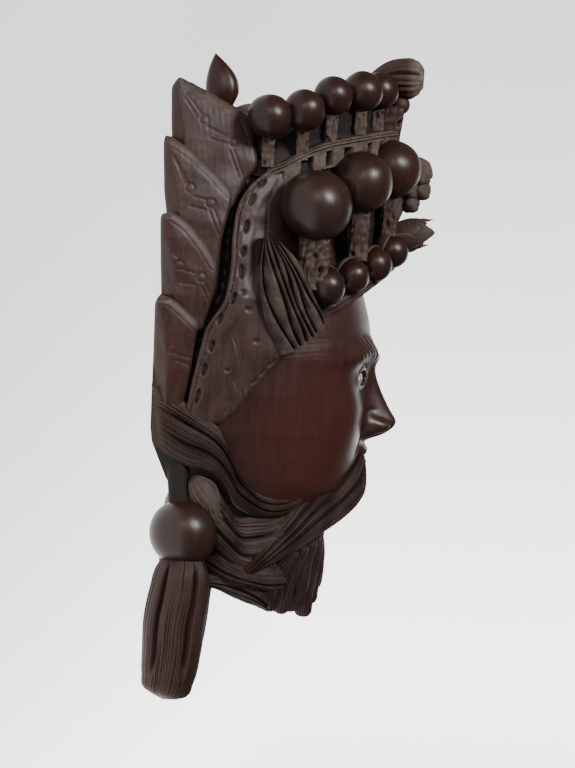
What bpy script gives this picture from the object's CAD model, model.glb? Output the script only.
"""Looks of the carved hardwood mask: one block of dark polished wood with two inlaid eyes.

Places are (across, up, out) in millimetres of the carving, as in the solids: up is counted from the
foot of the tassels, out along the line of the face, which leans a little from the flat back.
The camera looks at the lying mask from its right side.
"""
import math

import bpy
import numpy as np
from mathutils import Matrix, Vector
from mathutils.geometry import delaunay_2d_cdt


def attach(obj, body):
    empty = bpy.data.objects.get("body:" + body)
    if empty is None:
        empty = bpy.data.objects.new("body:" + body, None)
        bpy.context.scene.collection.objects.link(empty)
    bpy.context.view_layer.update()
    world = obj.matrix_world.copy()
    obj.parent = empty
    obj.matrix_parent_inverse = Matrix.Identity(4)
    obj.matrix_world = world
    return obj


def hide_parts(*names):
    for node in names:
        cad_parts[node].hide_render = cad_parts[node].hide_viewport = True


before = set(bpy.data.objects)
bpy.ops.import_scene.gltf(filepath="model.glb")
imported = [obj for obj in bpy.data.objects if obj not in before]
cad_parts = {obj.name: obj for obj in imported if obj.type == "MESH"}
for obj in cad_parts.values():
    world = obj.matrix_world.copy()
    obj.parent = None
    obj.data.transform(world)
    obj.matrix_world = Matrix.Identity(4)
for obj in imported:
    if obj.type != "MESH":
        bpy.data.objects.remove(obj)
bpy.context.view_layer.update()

# Glow of the pale floor, at the low and the high end of what the camera sees
STAGE_GLOW = (4.15, 1.57)

# Frame of the carving, in metres and radians
UNIT = 0.001
LEAN = math.radians(1.07)
LEAN_UP, LEAN_OUT = 21, 7
MIDDLE_UP = 147.5

# Middle line of the head, and finer points of the meshes
HEAD_AXIS_OUT = 20
RIPPLE_WAVES = 10
OUTLINE_ROUNDING = 7
LOCK_STEPS = 28
LOCK_POINTS = 128
SHEET_STEPS = 38
TASSEL_STEPS = 42
PLUME_STEPS = 70

SIDES = (-1, 1)
SIDE_NAMES = {-1: "right", 1: "left"}

# Camera, at the photograph's angle
CAMERA_DISTANCE = 2.0
CAMERA_RISE = math.radians(1.0)
CAMERA_SWING = math.radians(2.96)
CAMERA_ROLL = math.radians(2.33)
CAMERA_LENS = 198.4
CAMERA_TARGET = (0.0, -0.0063, 0.0606)

# Head block, as (up, value) rows
HALF_WIDTH = ((88, 60), (100, 65), (122, 69), (140, 70.5), (160, 70.5), (184, 69), (218, 63), (252, 54),
              (268, 44))
FRONT = ((88, 91), (96, 98), (110, 101), (122, 102), (140, 103), (157, 105), (175, 102), (192, 97),
         (215, 88), (252, 84), (268, 72))
BACK = ((88, 20), (100, 13), (116, 6), (124, 4.9), (140, 4.8), (181, 4.3), (184, 6.8), (200, 5.9),
        (218, 4.9), (221.5, 7.2), (236, 5.0), (253, 4.0), (257, 8.2), (264, 8.8), (268, 14))
SQUARENESS = 2.4
HOLLOW = (52, 62, 66)
HOLLOW_UP = 190

# Leaves, lowest first: outline of (up, out), tip first, then down the front edge and up the back edge
LEAVES = (
    ((183.2, 6.5), (182.4, 11.6), (177.8, 17.8), (171.8, 24.6), (161.2, 23.2), (149.8, 22.1), (140.6, 20.6),
     (133, 19), (131, 9), (140, 4.9), (158, 4.5), (180.2, 4.3)),
    ((220.2, 4.6), (221.2, 10), (216.1, 17.8), (207.8, 25.1), (199.5, 30.7), (193.6, 31.5), (186.7, 30.5),
     (179.8, 29.1), (168, 26), (168, 14), (177, 7.4), (184, 6.4), (198, 5.4), (216.5, 4.4)),
    ((256.2, 4.0), (254.9, 7.6), (249.7, 16.6), (240.4, 27.7), (232.2, 35.9), (225.8, 35.9), (216.5, 33.7),
     (209.6, 32.3), (195, 31.4), (192, 20), (202, 11), (213.5, 7.6), (230.7, 4.8), (252.4, 3.4)),
    ((283.2, 8.4), (280.6, 13.5), (277.3, 21.5), (271.5, 32.4), (267.2, 40.5), (260.5, 43.6), (253.7, 44.7),
     (246.5, 46.6), (243.3, 46.1), (237.5, 41.5), (224, 36), (226, 24), (238, 12), (250, 7.0), (264, 5.9),
     (278.5, 5.2)),
)
# How many points of each outline are its free front edge
LEAF_FRONT = (4, 5, 5, 6)
WING_HALF_WIDTH = ((131, 76), (150, 77), (184, 75.5), (218, 71), (255, 62), (281, 53))
WING_SLOPE = 0.22
LEAF_LIFT = 6.0
LEAF_THICKNESS = 9.0
# Engraving of the leaves: rings, then lines, as (up, out)
LEAF_RINGS = (
    ((159.1, 13.4),),
    ((197.2, 14.2), (192.1, 24.6)),
    ((232.4, 16.9), (226.0, 26.6)),
    ((263.9, 21.2), (254.4, 35.3)),
)
LEAF_LINES = (
    (((156.6, 15.4), (155.3, 22.8)), ((154.0, 15.5), (151.6, 22.5)), ((170.0, 8.1), (160.8, 10.9)),
     ((170.2, 10.7), (161.9, 12.4))),
    (((195.2, 16.0), (194.0, 21.5)), ((189.3, 15.3), (188.6, 22.2)), ((211.3, 6.7), (201.4, 11.7)),
     ((208.5, 9.2), (200.4, 13.2)), ((189.3, 26.5), (180.1, 31.1)), ((188.4, 24.6), (180.4, 29.0))),
    (((228.7, 18.8), (227.6, 24.4)), ((224.3, 17.3), (222.9, 24.3)), ((246.3, 8.7), (234.3, 14.5)),
     ((243.5, 10.7), (234.3, 16.0)), ((223.5, 28.3), (211.4, 33.4)), ((223.0, 26.0), (211.9, 31.0))),
    (((260.7, 23.0), (257.2, 31.3)), ((255.4, 24.8), (253.6, 32.2)), ((276.1, 11.8), (266.8, 19.6)),
     ((273.9, 11.5), (265.2, 17.9)), ((251.2, 35.4), (237.7, 40.9)), ((250.5, 33.6), (238.5, 38.6))),
)
LEAF_RIDGE = 5.2

# Side flap of the helmet
FLAP = ((249.2, 61.3), (245.2, 54.7), (240.3, 49.1), (235.4, 43.9), (228.3, 39.8), (221.4, 38.0),
        (209.9, 37.3), (200.8, 37.7), (191.7, 37.1), (182.5, 35.8), (177.8, 33.3), (173.0, 30.0),
        (168.3, 27.5), (159.1, 25.8), (149.9, 24.1), (140.7, 22.4), (131, 21.3), (125.5, 28), (125.6, 34.6),
        (127.4, 39.0), (131.7, 43.3), (140.7, 49.6), (146.9, 54.7), (152.6, 58.9), (157.9, 63.2), (168, 72),
        (205, 77), (243, 70))
FLAP_RISE = 3.5
FLAP_THICKNESS = 10.0
BAND = FLAP[:17]
BAND_WIDTH = 9.0
STITCHES = (
    ((244.1, 59.8), (241.9, 54.4)), ((237.6, 50.6), (235.1, 47.1)), ((231.0, 46.4), (226.3, 44.0)),
    ((219.0, 44.0), (213.9, 43.0)), ((207.1, 43.4), (202.9, 42.3)), ((198.8, 42.5), (192.9, 42.4)),
    ((185.9, 40.6), (181.3, 39.0)), ((176.0, 34.7), (171.8, 33.2)), ((164.0, 31.9), (158.9, 30.6)),
    ((153.3, 29.3), (147.8, 27.6)), ((141.3, 26.8), (135.2, 25.4)),
)
FLAP_FOLDS = (
    ((173.6, 39.5), (166.8, 40.4), (160.1, 43.0), (151.1, 45.4), (143.0, 47.3)),
    ((146.3, 42.5), (141.9, 44.1), (136.4, 44.9)),
    ((238, 56), (228, 52.4), (214, 52.6), (200, 50.5)),
)
FLAP_DIMPLES = ((179.0, 46.9), (164.6, 51.4), (150.7, 39.0), (186.6, 44.2))
FLAP_NICKS = (
    ((137.0, 39.8), (131.7, 42.0)), ((132.4, 39.2), (129.3, 40.7)), ((151.5, 56.0), (149.4, 54.0)),
    ((156.5, 60.5), (153.6, 57.4)), ((147, 52.5), (145.4, 50.6)), ((141.5, 46.3), (138.0, 47.2)),
)
# Deep cut between the leaves and the flap
CHANNEL = ((246, 50.5), (236, 41.5), (231, 37.9), (222, 36), (209, 34.8), (196, 34.6), (186, 33.8),
           (179, 31), (171, 27), (160, 24.6), (149, 23.2), (138, 21.4))

# Tiara
TIARA_OUT = 45.0
TIARA_HALF_WIDTH = 60.0
TIARA_REACH = 68.0
SHELF_THICKNESS = 6.5
SHELF_WIDTH = 14.0
RIM_DROP = 5.0
BACK_WALL_RISE = 12.0
HOLE_SPACING = 11.5
CROWN = (240, 274, 50, 52, 50)

# Beads on one side, as (across, up, out, radius)
TOP_BEADS = ((60, 267.3, 51, 10.2), (51, 271, 66.5, 9.8), (40, 278.5, 79.3, 9.2), (28, 281.5, 92.5, 9.6),
             (11.3, 282.6, 100.5, 9.0))
BIG_BEADS = ((59, 227.8, 74.7, 16.6), (39.5, 239.7, 95, 14.3), (15, 246.4, 108.6, 13.6))
LOW_BEADS = ((54, 191, 81.5, 8.8), (42.5, 196.2, 93.1, 7.9), (29, 201.7, 103.2, 8.0),
             (14.8, 208, 110.7, 7.8))
CENTRE_BEAD = (0, 276.9, 110.6, 4.6)

# Eyes, in millimetres of the carving
EYE = (18.8, 148.0, 97.6)
EYE_WIDTH = 20.0
EYE_OPENING = 8.8
LOWER_LID = 0.86
EYE_TURN = math.radians(14)

# Line of the nose from its root to the lip, as (up, height)
NOSE_BRIDGE = ((160, 0), (154, 1.6), (148, 4.0), (142, 6.8), (137, 9.4), (133, 11.6), (130, 13.0),
               (127.2, 13.6), (124.6, 13.0), (122.4, 11.2), (120.6, 8.4), (119.2, 5.0), (117.8, 2.0),
               (115.5, 0.3), (110, 0))

# Tassel and pendant on one side
PENDANT_BALL = (68, 74.8, 22.9, 15.7)
TASSEL = ((68, 67, 23.4, 7.5), (68.1, 63, 23.4, 9.6), (68.2, 58, 23.2, 12.2), (68.5, 49, 22.8, 13.8),
          (69, 34, 21.1, 14.3), (69, 20, 20.6, 13.6), (69, 8, 19.6, 12.2), (69, 1, 18.6, 9.5),
          (69, -2.0, 18, 4))
LEFT_TASSEL_DEPTH = 0.81

# Sheets of carved hair on one side: upper and lower guide, as (across, up, out), then bulge, grooves, dust
# and the number of locks that the sheet is parted into
HAIR_SHEETS = {
    "nape":
        (((72.5, 142.7, 4.5), (71.5, 139.9, 11), (71, 135, 20.3), (71, 129.5, 28.9), (70.5, 124.4, 36),
          (69, 118.1, 40), (66.5, 111.2, 42.5), (63, 103, 47), (58.5, 96.1, 53), (54, 92.6, 61.3),
          (48, 93.1, 69.4), (42, 98.2, 77)),
         ((71, 112.8, 9.7), (70, 108.6, 16.3), (69.5, 105.3, 23.8), (69, 104.4, 31.2), (67.5, 101, 37.7),
          (65, 94.6, 42.2), (62.5, 88.6, 45.2), (59, 85, 50.8), (54, 82.7, 58.2), (49.5, 83.3, 66.3),
          (45, 87, 72.1), (41, 92.2, 77.7)), 4.0, 34, 0.12, 3),
    "curl":
        (((64, 97.5, 21), (65.5, 97.5, 30), (66, 95.4, 37.1), (64.5, 89.5, 41.5), (61.5, 83.0, 46),
          (57, 83, 52.9), (52, 83, 61.2), (47, 85, 69)),
         ((63, 80.5, 22), (65, 76.4, 30.4), (64, 69.8, 36.7), (61, 63.1, 43.9), (57, 58, 50.9),
          (53, 59, 57.7), (49, 64.1, 63.8), (45, 70.2, 70.5)), 5.5, 30, 0.26, 3),
    "under":
        (((60, 56.5, 32), (59, 57.5, 40.5), (56, 57, 48.7), (51, 54.5, 56.1), (46, 50, 61.8),
          (41, 43.5, 64.5)),
         ((57, 51, 32), (56, 49.3, 38), (52, 45.6, 45.5), (47, 42.3, 53), (43, 40.8, 57.6),
          (39, 39.8, 61.5)), 5.0, 18, 0.26, 2),
    "tail":
        (((56, 74, 33), (60, 68, 40), (60, 62, 46), (56.5, 60, 55), (52, 60, 61), (43, 60, 66),
          (27, 59, 70)),
         ((55, 55, 32), (57, 53, 39), (58, 52, 45), (54, 50, 53), (47, 47.5, 58), (38, 46, 62),
          (25, 44, 66)), 5.0, 28, 0.24, 2),
    "moustache":
        (((5, 115.5, 98), (12, 115.4, 92.4), (18, 113.1, 87.9), (25, 107.7, 83.6), (31, 101.3, 79.4),
          (38, 95.4, 74.2), (43, 90, 70.5), (48, 83.2, 66.3), (52.5, 76.8, 61.3), (56, 69.9, 56.7),
          (58.5, 63.3, 52.5), (59.5, 58, 48.7)),
         ((2, 112.2, 98.5), (5, 107.4, 101.8), (8, 100.7, 104.6), (13, 94.5, 104.8), (19, 89.6, 102.3),
          (27, 83.3, 96.3), (34, 78.3, 89.6), (40, 73.8, 83), (45, 68.6, 75.9), (49, 64.4, 68.8),
          (53.5, 60.1, 60.9), (56.5, 56.6, 53.3), (58, 55, 47.9)), 6.0, 34, 0.12, 4),
}
# Short lock between the nape hair and the curl on one side
KNOT = ((67.5, 101, 25, 3.0, 3.0), (68.5, 97, 28.5, 5.2, 3.6), (68, 91, 32.5, 6.6, 4.2),
        (66, 83, 36, 6.4, 4.4), (63, 75, 40, 4.0, 3.4))
# Locks of the chin tuft on one side: path of (across, up, out, half width, half thickness)
CHIN_LOCKS = (
    ((47, 64, 62, 4.5, 4), (45, 56, 60.5, 6, 5), (41.5, 49, 61, 6, 5), (37, 43.5, 61, 5, 4.5),
     (33, 40.5, 61.5, 3.8, 3.8)),
    ((36, 69, 73, 4.5, 5), (35, 58.3, 67.5, 6, 5.5), (33, 50, 64.2, 6, 5.5), (30, 42.5, 62.6, 5, 5),
     (27, 37.4, 62.6, 3.8, 3.8)),
    ((32, 71, 76.5, 5, 5), (31, 59.2, 72.5, 6, 5.5), (29, 49.9, 69.8, 6, 5.5), (26, 41.6, 68.3, 5, 5),
     (23, 36.6, 68.1, 4, 4)),
    ((26, 73, 80, 5, 5), (25, 60.3, 77, 6, 5.5), (23, 50.6, 75.2, 6, 5.5), (20, 42.2, 73.8, 5, 5),
     (17, 37.6, 73.1, 4, 4)),
    ((19, 75, 82, 5, 5), (18, 60.4, 80.3, 6, 5.5), (16, 50.2, 79.3, 6, 5.5), (14, 41.5, 78.6, 4.6, 4.6),
     (11, 33.8, 78, 4.4, 4.4)),
    ((10, 76, 82, 5, 4), (10, 60.9, 82.5, 6, 5), (9, 51.2, 82, 5.6, 5), (8, 44.5, 81.6, 4.6, 4.4),
     (6, 39.4, 81.3, 3.6, 3.6)),
)
MIDDLE_LOCK = ((0, 78, 80, 5, 4), (0, 67, 81.2, 6, 4.6), (0, 60, 82.6, 6.4, 5), (0, 54, 82.3, 5.4, 4.6),
               (0, 46, 82.4, 4.2, 4))
# Dark core behind the locks, as middles and radii
CHIN_CORES = (((0, 86, 56), (50, 24, 30)), ((0, 58, 58), (40, 16, 20)))
# Left and right edge of the temple tuft
TUFT_GUIDES = (
    ((66, 214.5, 52), (68.5, 201.6, 51), (71, 190.2, 51.3), (71.5, 179, 53.8), (70.5, 170, 57.1),
     (69, 162.9, 60.7), (68, 158.6, 63.2)),
    ((66, 214.5, 53.6), (66.5, 208.7, 61.5), (64, 199.2, 70), (60.5, 188.4, 75.3), (57, 180.4, 79.4),
     (55, 174.6, 81.8)),
)
# Width of one cut between two strands, as a share of their spacing
STRAND_CUT = 0.19

# Plume, finial and the blossom's stalk, as (across, up, out, half width, half thickness)
PLUME = ((0, 258, 96, 5, 5), (0, 276, 96, 5.2, 5.2), (0, 285, 99.5, 6.5, 6.5), (0, 288.8, 107, 9.0, 9.0),
         (0, 289.4, 114, 9.8, 9.8), (0, 289.3, 121.4, 9.6, 9.6))
FINIAL = ((0, 256, 27, 5.5, 5.5), (0, 270, 26, 5.2, 5.4), (0, 279, 26.6, 6.6, 7.8),
          (0, 286, 25.8, 5.4, 6.6), (0, 291.5, 24.1, 3.0, 3.6), (0, 295.8, 22.4, 0.3, 0.3))
STALK = ((0, 208, 103, 8, 7), (0, 214, 104, 8, 6.5), (0, 232, 112, 3.6, 4.2), (0, 252, 112, 5.0, 5.0))
# Petals of the blossom, as turn, length, radius, spread and flare
PETALS = ((-1.45, 26.5, 8.0, 0.92, 0.2), (1.45, 26.5, 8.0, 0.92, 0.2), (0.0, 25.6, 7.0, 0.95, 1.6),
          (3.14, 24.0, 6.6, 0.95, 0.2), (-0.8, 22.5, 7.8, 0.85, 0.8), (0.8, 22.5, 7.8, 0.85, 0.8),
          (-2.3, 21.5, 8.2, 0.9, 0.0), (2.3, 21.5, 8.2, 0.9, 0.0))
# Knobs over the blossom, as middle, radii and dust
KNOBS = (
    ((0, 245.6, 119.8), (8.0, 7.2, 8.4), 0.40),
    ((0, 236.8, 122.6), (5.2, 4.6, 5.0), 0.35),
    ((0, 230.6, 118), (5.0, 4.6, 4.6), 0.45),
    ((0, 238.5, 116.5), (6.8, 7.6, 7.2), 0.25),
)

# Wood, as gain of dust, roughness, shine, depth of colour and gain of grain
WOODS = {
    "polished_hardwood": (0.55, 0.34, 0.20, 0.34, 0.55),
    "face_hardwood": (0.55, 0.36, 0.26, 0.52, 0.35),
    "rubbed_hardwood": (0.8, 0.43, 0.20, 0.50, 0.8),
    "hair_hardwood": (1.0, 0.50, 0.15, 0.40, 1.0),
    "cut_hardwood": (1.0, 0.55, 0.20, 0.54, 1.0),
}
WOOD_COLOURS = {
    "base": (0.016, 0.0068, 0.0058, 1),
    "streaks": (0.050, 0.0155, 0.0110, 1),
    "patches": (0.070, 0.0130, 0.0080, 1),
    "pores": (0.008, 0.0045, 0.004, 1),
    "edges": (0.095, 0.054, 0.040, 1),
    "cuts": (0.0055, 0.0035, 0.003, 1),
    "dust": (0.165, 0.135, 0.108, 1),
}

# Floor and the wall behind it, in metres
FLOOR_REACH = 4.0
WALL_START = 3.4
WALL_BEND = 0.8
# Lights, as place, aim, size and power
LIGHTS = {
    "key": ((-0.85, 0.75, 1.0), (0, 0, 0.06), (0.35, 0.45), 40),
    "side": ((-1.3, 0.75, 0.12), (0, 0, 0.05), (0.5, 0.4), 7),
}


# Points and curves


def to_frame(points):
    """Places of the carving as metres in the mask's frame."""
    points = np.asarray(points, float)
    rise, reach = points[:, 1] - LEAN_UP, points[:, 2] - LEAN_OUT
    along = LEAN_UP + rise * math.cos(LEAN) - reach * math.sin(LEAN) - MIDDLE_UP
    height = reach * math.cos(LEAN) + rise * math.sin(LEAN)
    return np.stack([points[:, 0], along, height], 1) * UNIT


def resting_out(up):
    """Out of the plane that the mask lies on, at a height."""
    return LEAN_OUT - (up - LEAN_UP) * math.tan(LEAN)


def read(rows, up):
    return np.interp(up, [row[0] for row in rows], [row[1] for row in rows])


def smooth(points, count):
    """Evenly spaced points on a smooth curve through the given ones."""
    points = np.asarray(points, float)
    gaps = np.linalg.norm(np.diff(points[:, :3], axis=0), axis=1)
    knots = np.concatenate([[0], np.cumsum(gaps)])
    slopes = np.gradient(points, knots, axis=0)
    places = np.linspace(0, knots[-1], count)
    index = np.clip(np.searchsorted(knots, places, side="right") - 1, 0, len(points) - 2)
    width = (knots[index + 1] - knots[index])[:, None]
    s = (places[:, None] - knots[index][:, None]) / width
    start = (2 * s ** 3 - 3 * s ** 2 + 1) * points[index] + (s ** 3 - 2 * s ** 2 + s) * width * slopes[index]
    end = (3 * s ** 2 - 2 * s ** 3) * points[index + 1] + (s ** 3 - s ** 2) * width * slopes[index + 1]
    return start + end


def unit(vectors):
    return vectors / np.maximum(np.linalg.norm(vectors, axis=-1, keepdims=True), 1e-9)


def ease(low, high, value):
    share = np.clip((value - low) / (high - low), 0, 1)
    return share * share * (3 - 2 * share)


def bump(distance, width):
    return np.exp(-(distance / width) ** 2)


def ripple(points, size, seed):
    """Smooth irregular values of about -1 to 1, whose bumps are about size wide."""
    random = np.random.default_rng(seed)
    total = np.zeros(len(points))
    for _ in range(RIPPLE_WAVES):
        way = unit(random.normal(size=3))
        pace = 2 * math.pi / size * random.uniform(0.6, 1.7)
        total += np.sin(np.asarray(points) @ way * pace + random.uniform(0, 6.3))
    return total / math.sqrt(RIPPLE_WAVES)


def to_line(points, line):
    """Distance of flat points to a line of several stretches, and how far along the nearest place is."""
    best = np.full(len(points), 1e9)
    along = np.zeros(len(points))
    run = 0.0
    for start, end in zip(np.asarray(line[:-1], float), np.asarray(line[1:], float)):
        way = end - start
        length = np.linalg.norm(way)
        share = np.clip(((points - start) @ way) / length ** 2, 0, 1)
        gap = np.linalg.norm(points - start - share[:, None] * way, axis=1)
        nearer = gap < best
        best = np.where(nearer, gap, best)
        along = np.where(nearer, run + share * length, along)
        run += length
    return best, along


# Making pieces


def ring_faces(rows, columns):
    """Four-cornered faces between closed rings of points, one ring after another."""
    row, column = np.meshgrid(np.arange(rows - 1), np.arange(columns), indexing="ij")
    after = (column + 1) % columns
    here, above = row * columns, (row + 1) * columns
    corners = (here + column, here + after, above + after, above + column)
    return np.stack([corner.ravel() for corner in corners], 1).tolist()


class Form:
    """Points and faces of one or several shapes that make up one piece."""

    def __init__(self):
        self.points, self.faces, self.dust = [], [], []
        self.shade = None
        self.count = 0

    def add(self, points, faces, dust):
        points = np.asarray(points, float).reshape(-1, 3)
        self.faces += [[corner + self.count for corner in face] for face in faces]
        self.points.append(points)
        self.dust.append(np.broadcast_to(np.asarray(dust, float), (len(points),)))
        self.count += len(points)

    def add_rings(self, rings, dust):
        """Closed rings one after another, given as an array of rings by points by 3."""
        rows, columns = rings.shape[:2]
        faces = ring_faces(rows, columns)
        faces.append(list(range(columns))[::-1])
        faces.append(list(range((rows - 1) * columns, rows * columns)))
        self.add(rings, faces, dust)


def hollowness(points, faces, normals):
    """How far each point lies in a cut (positive) or on an edge (negative), from the surface's bend."""
    starts = np.array([corner for face in faces for corner in face])
    ends = np.array([corner for face in faces for corner in face[1:] + face[:1]])
    size = len(points)
    count = np.maximum(np.bincount(starts, minlength=size) + np.bincount(ends, minlength=size), 1)

    def mean(values):
        return (np.bincount(starts, values[ends], size) + np.bincount(ends, values[starts], size)) / count

    around = np.stack([mean(points[:, axis]) for axis in range(3)], 1)
    length = np.linalg.norm(points[starts] - points[ends], axis=1).mean()
    bend = ((around - points) * normals).sum(1) / length
    for _ in range(2):
        bend = 0.5 * bend + 0.5 * mean(bend)
    return bend


def make_piece(name, form, material, stands_for="mask_body", sharp=50):
    """One shown piece of the mask from a form, with its cut, edge and dust values for the material."""
    points = to_frame(np.concatenate(form.points))
    points[:, 2] = np.maximum(points[:, 2], 0)
    mesh = bpy.data.meshes.new(name)
    mesh.from_pydata(points.tolist(), [], form.faces)
    mesh.validate()
    mesh.shade_smooth()
    mesh.set_sharp_from_angle(angle=math.radians(sharp))
    normals = np.zeros(len(points) * 3)
    mesh.vertex_normals.foreach_get("vector", normals)
    bend = hollowness(points / UNIT, form.faces, normals.reshape(-1, 3))
    cut = np.clip(bend * 5.0, 0, 1)
    if form.shade is not None:
        cut = np.maximum(cut, form.shade)
    for label, values in (("cut", cut), ("edge", np.clip(-bend * 4.0, 0, 1)),
                          ("dust", np.concatenate(form.dust))):
        mesh.attributes.new(label, "FLOAT", "POINT").data.foreach_set("value", values)
    made = bpy.data.objects.new(name, mesh)
    bpy.context.scene.collection.objects.link(made)
    mesh.materials.append(material)
    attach(made, "root")
    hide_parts(stands_for)
    return made


def turn_out(form):
    """Turns a form's faces round if they point inwards, by its volume."""
    points = np.concatenate(form.points)
    corners = np.array([(face[0], *pair) for face in form.faces for pair in zip(face[1:-1], face[2:])])
    a, b, c = (points[corners[:, i]] for i in range(3))
    if (np.cross(a, b) * c).sum() < 0:
        form.faces = [face[::-1] for face in form.faces]


def rounded_end(share, length, least=0):
    """Share of the full width near the end of a form, so that it closes like a ball."""
    return np.sqrt(np.clip(1 - (1 - np.clip(share / length, 0, 1)) ** 2, least, 1))


def tube_rings(path, around, sizes, relief=None, rounded=(0.0, 0.0), aside=None):
    """Rings along a path. Their width lies along the head's surface, and their thickness points off it."""
    rows = len(path)
    ahead = unit(np.gradient(path, axis=0))
    outward = path - np.array([0, 0, HEAD_AXIS_OUT])
    outward[:, 1] = 0
    if aside is not None:
        outward = np.broadcast_to(np.array(aside, float), path.shape)
    thick = unit(outward - ahead * (outward * ahead).sum(1)[:, None])
    wide = np.cross(ahead, thick)
    angle = np.linspace(0, 2 * math.pi, around, endpoint=False)
    swell = np.ones((rows, around))
    if relief is not None:
        swell = swell + relief(np.linspace(0, 1, rows)[:, None], angle[None, :])
    share = np.linspace(0, 1, rows)
    ends = np.ones(rows)
    for length, from_end in zip(rounded, (share, 1 - share)):
        if length:
            ends *= rounded_end(from_end, length, 0.0004)
    half_wide = (sizes[:, 0] * ends)[:, None, None]
    half_thick = (sizes[:, 1] * ends)[:, None, None]
    offset = (wide[:, None, :] * half_wide * np.cos(angle)[None, :, None]
              + thick[:, None, :] * half_thick * np.sin(angle)[None, :, None])
    return path[:, None, :] + offset * swell[:, :, None]


def strand_grooves(count, seed, depth, sway=0.25):
    """Uneven cuts along a lock that sway and fade, as a relief over (share of the way, angle)."""
    random = np.random.default_rng(seed)
    places = (np.arange(count) + random.uniform(-0.3, 0.3, count)) * 2 * math.pi / count
    depths = random.uniform(0.45, 1.0, count) * depth
    phases = random.uniform(0, 6.3, (count, 2))

    def relief(share, angle):
        total = np.zeros(np.broadcast(share, angle).shape)
        for place, cut, phase in zip(places, depths, phases):
            bent = place + sway / count * np.sin(5 * share + phase[0]) * math.pi
            gap = np.angle(np.exp(1j * (angle - bent)))
            fade = 0.65 + 0.35 * np.sin(6 * share + phase[1])
            total = total - cut * fade * np.exp(-(gap * count / 1.35) ** 2)
        return total

    return relief


# Head, face and hollow back


def nose(across, up):
    side = np.abs(across)
    bridge = smooth(NOSE_BRIDGE, 80)
    height = np.interp(up, bridge[::-1, 0], bridge[::-1, 1])
    along = np.clip((156 - up) / 28, 0, 1)
    ridge = height * np.exp(-(side / (4.2 + 3.0 * along)) ** 2.2)
    tip = 1.6 * np.exp(-(across / 5.2) ** 2 - ((up - 127.5) / 4) ** 2)
    wing = 8.0 * np.exp(-np.abs((side - 7.2) / 3.6) ** 2.4 - np.abs((up - 124.8) / 4.4) ** 2.4)
    fold = -1.0 * bump(np.hypot(side - 6.0, (up - 127.5) * 0.8) - 4.4, 0.9) * ease(5, 7, side)
    nostril = -3.4 * np.exp(-((side - 4.4) / 2.0) ** 2 - ((up - 120.6) / 1.5) ** 2)
    return np.maximum(np.maximum(ridge, wing), 0.85 * (ridge + wing)) + tip + fold + nostril


def mouth(across, up):
    reach = 1 - ease(9, 15.5, np.abs(across))
    bow = 0.9 * bump(np.abs(across) - 3.6, 3.0) - 0.5 * bump(across, 1.8)
    upper = 3.6 * bump(up - 113.2 - 0.5 * bow, 2.7)
    lower = 4.4 * np.exp(-((up - 107.4) / 2.7) ** 2 - (across / 11) ** 2)
    line = -2.0 * bump(up - 110.4 + 0.10 * np.cos(across / 2.2), 0.7)
    philtrum = -0.8 * np.exp(-(across / 1.7) ** 2 - ((up - 117.5) / 2.6) ** 2)
    return reach * (upper + lower + line - 1.5 * bump(up - 102, 3.0)) + philtrum


def eye_shape(across, up, grow):
    """Below 1 inside the almond of the eye, which is drawn out to its corners."""
    x = (np.abs(across) - EYE[0]) / (EYE_WIDTH / 2 + grow)
    share = np.where(up > EYE[1], 1.0, LOWER_LID)
    lift = share * (EYE_OPENING / 2 + grow) * np.clip(1 - x * x, 0.0, 1) ** 0.72 + 1e-3
    return np.maximum(np.abs(x), np.abs(up - EYE[1]) / lift)


def brow_hairs(across, up):
    """Fine curved cuts of the eyebrows, fanning from the root of the nose to the temples."""
    side = np.abs(across)
    arch = 159.5 + 2.2 * bump(side - 24, 12) - 0.004 * np.clip(side - 24, 0, None) ** 2
    field = ease(8.0, 3.0, np.abs(up - arch - 1.5)) * ease(3.5, 8, side) * ease(62, 46, side)
    flow = ((up - arch) * 0.95 - side * 0.50 - 0.010 * side ** 2 + 0.35 * np.sin(side * 0.3)) / 1.9
    away = np.abs(flow - np.round(flow))
    deep = 0.55 + 0.45 * np.sin(np.round(flow) * 2.4)
    return field * (0.7 - 1.0 * deep * bump(away, 0.21))


def temple_hairs(across, up):
    """Long shallow cuts that run from the brow over the temple."""
    side = np.abs(across)
    field = ease(40, 50, side) * ease(146, 150, up) * ease(176, 166, up)
    flow = ((up - 158) + 0.16 * (side - 50) + 0.6 * np.sin(side * 0.2)) / 2.1
    away = np.abs(flow - np.round(flow))
    return -0.16 * field * (0.6 + 0.4 * np.sin(np.round(flow) * 2.1)) * bump(away, 0.22)


def face_relief(across, up):
    side = np.abs(across)
    socket = -7.5 * np.exp(-((side - 18) / 12) ** 2 - ((up - 148.5) / 8) ** 2)
    lid = 4.9 * np.exp(-(((side - 18.8) / 11.5) ** 2 + ((up - 148) / 6.6) ** 2) ** 1.6)
    crease = -0.9 * bump(up - 154.2 + 0.028 * (side - 18.8) ** 2, 0.8)
    crease = crease * ease(7, 11, side) * ease(31, 27, side)
    bag = -0.5 * bump(up - 141.0 - 0.020 * (side - 18.8) ** 2, 1.0) * ease(8, 12, side) * ease(31, 26, side)
    brow = 3.0 * bump(up - 158.5 - 1.5 * bump(side - 24, 12), 4.5) * (1 - ease(34, 46, side))
    cheek = 3.4 * np.exp(-((side - 36) / 15) ** 2 - ((up - 131) / 14) ** 2)
    chin = 3.0 * np.exp(-(across / 12) ** 2 - ((up - 94) / 7) ** 2)
    fold = -0.9 * bump(side - 12.5 - (124 - up) * 0.55, 1.8) * ease(108, 114, up) * ease(128, 122, up)
    return nose(across, up) + socket + lid + crease + bag + brow + cheek + chin + fold + mouth(across, up)


def block_depths(up):
    half_width, front, back = read(HALF_WIDTH, up), read(FRONT, up), read(BACK, up)
    return half_width, front, np.maximum(back, resting_out(up))


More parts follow.
